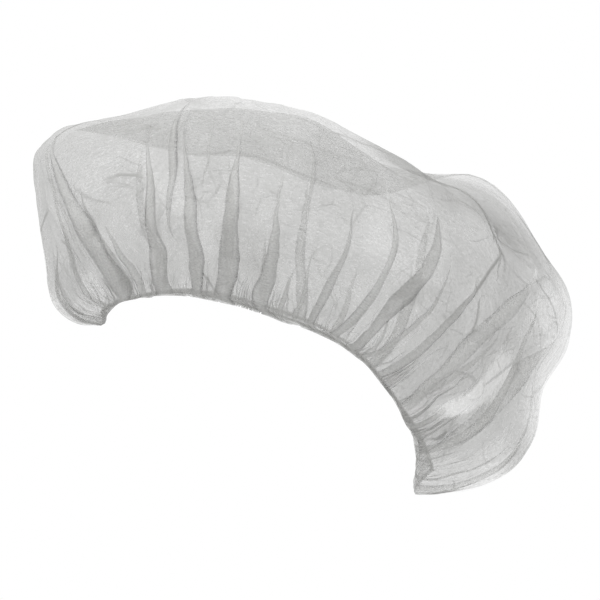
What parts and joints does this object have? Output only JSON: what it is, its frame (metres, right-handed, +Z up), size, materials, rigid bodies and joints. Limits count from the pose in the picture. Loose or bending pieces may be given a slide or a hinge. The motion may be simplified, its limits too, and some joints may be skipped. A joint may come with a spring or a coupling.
{
  "type": "disposable hair cover cap",
  "caption": "Disposable bouffant hair cap in worn shape: gathered thin nonwoven crown with a sunken middle, a turned hem round an open head opening, and the elastic in the hem.",
  "frame": {"origin": "middle of the head opening, where a head holds the cap", "axes": "-X towards the brow, +X towards the nape, -Y and +Y towards the ears, +Z up"},
  "size_m": [0.2884, 0.2287, 0.2154],
  "materials": {
    "nonwoven": "matte, translucent white spunbond",
    "gathered_hem": "matte, finely gathered white spunbond",
    "elastic": "matte white covered elastic thread"
  },
  "bodies": {
    "root": {"crown": "nonwoven", "hem": "gathered_hem", "elastic": "elastic"}
  },
  "joints": []
}
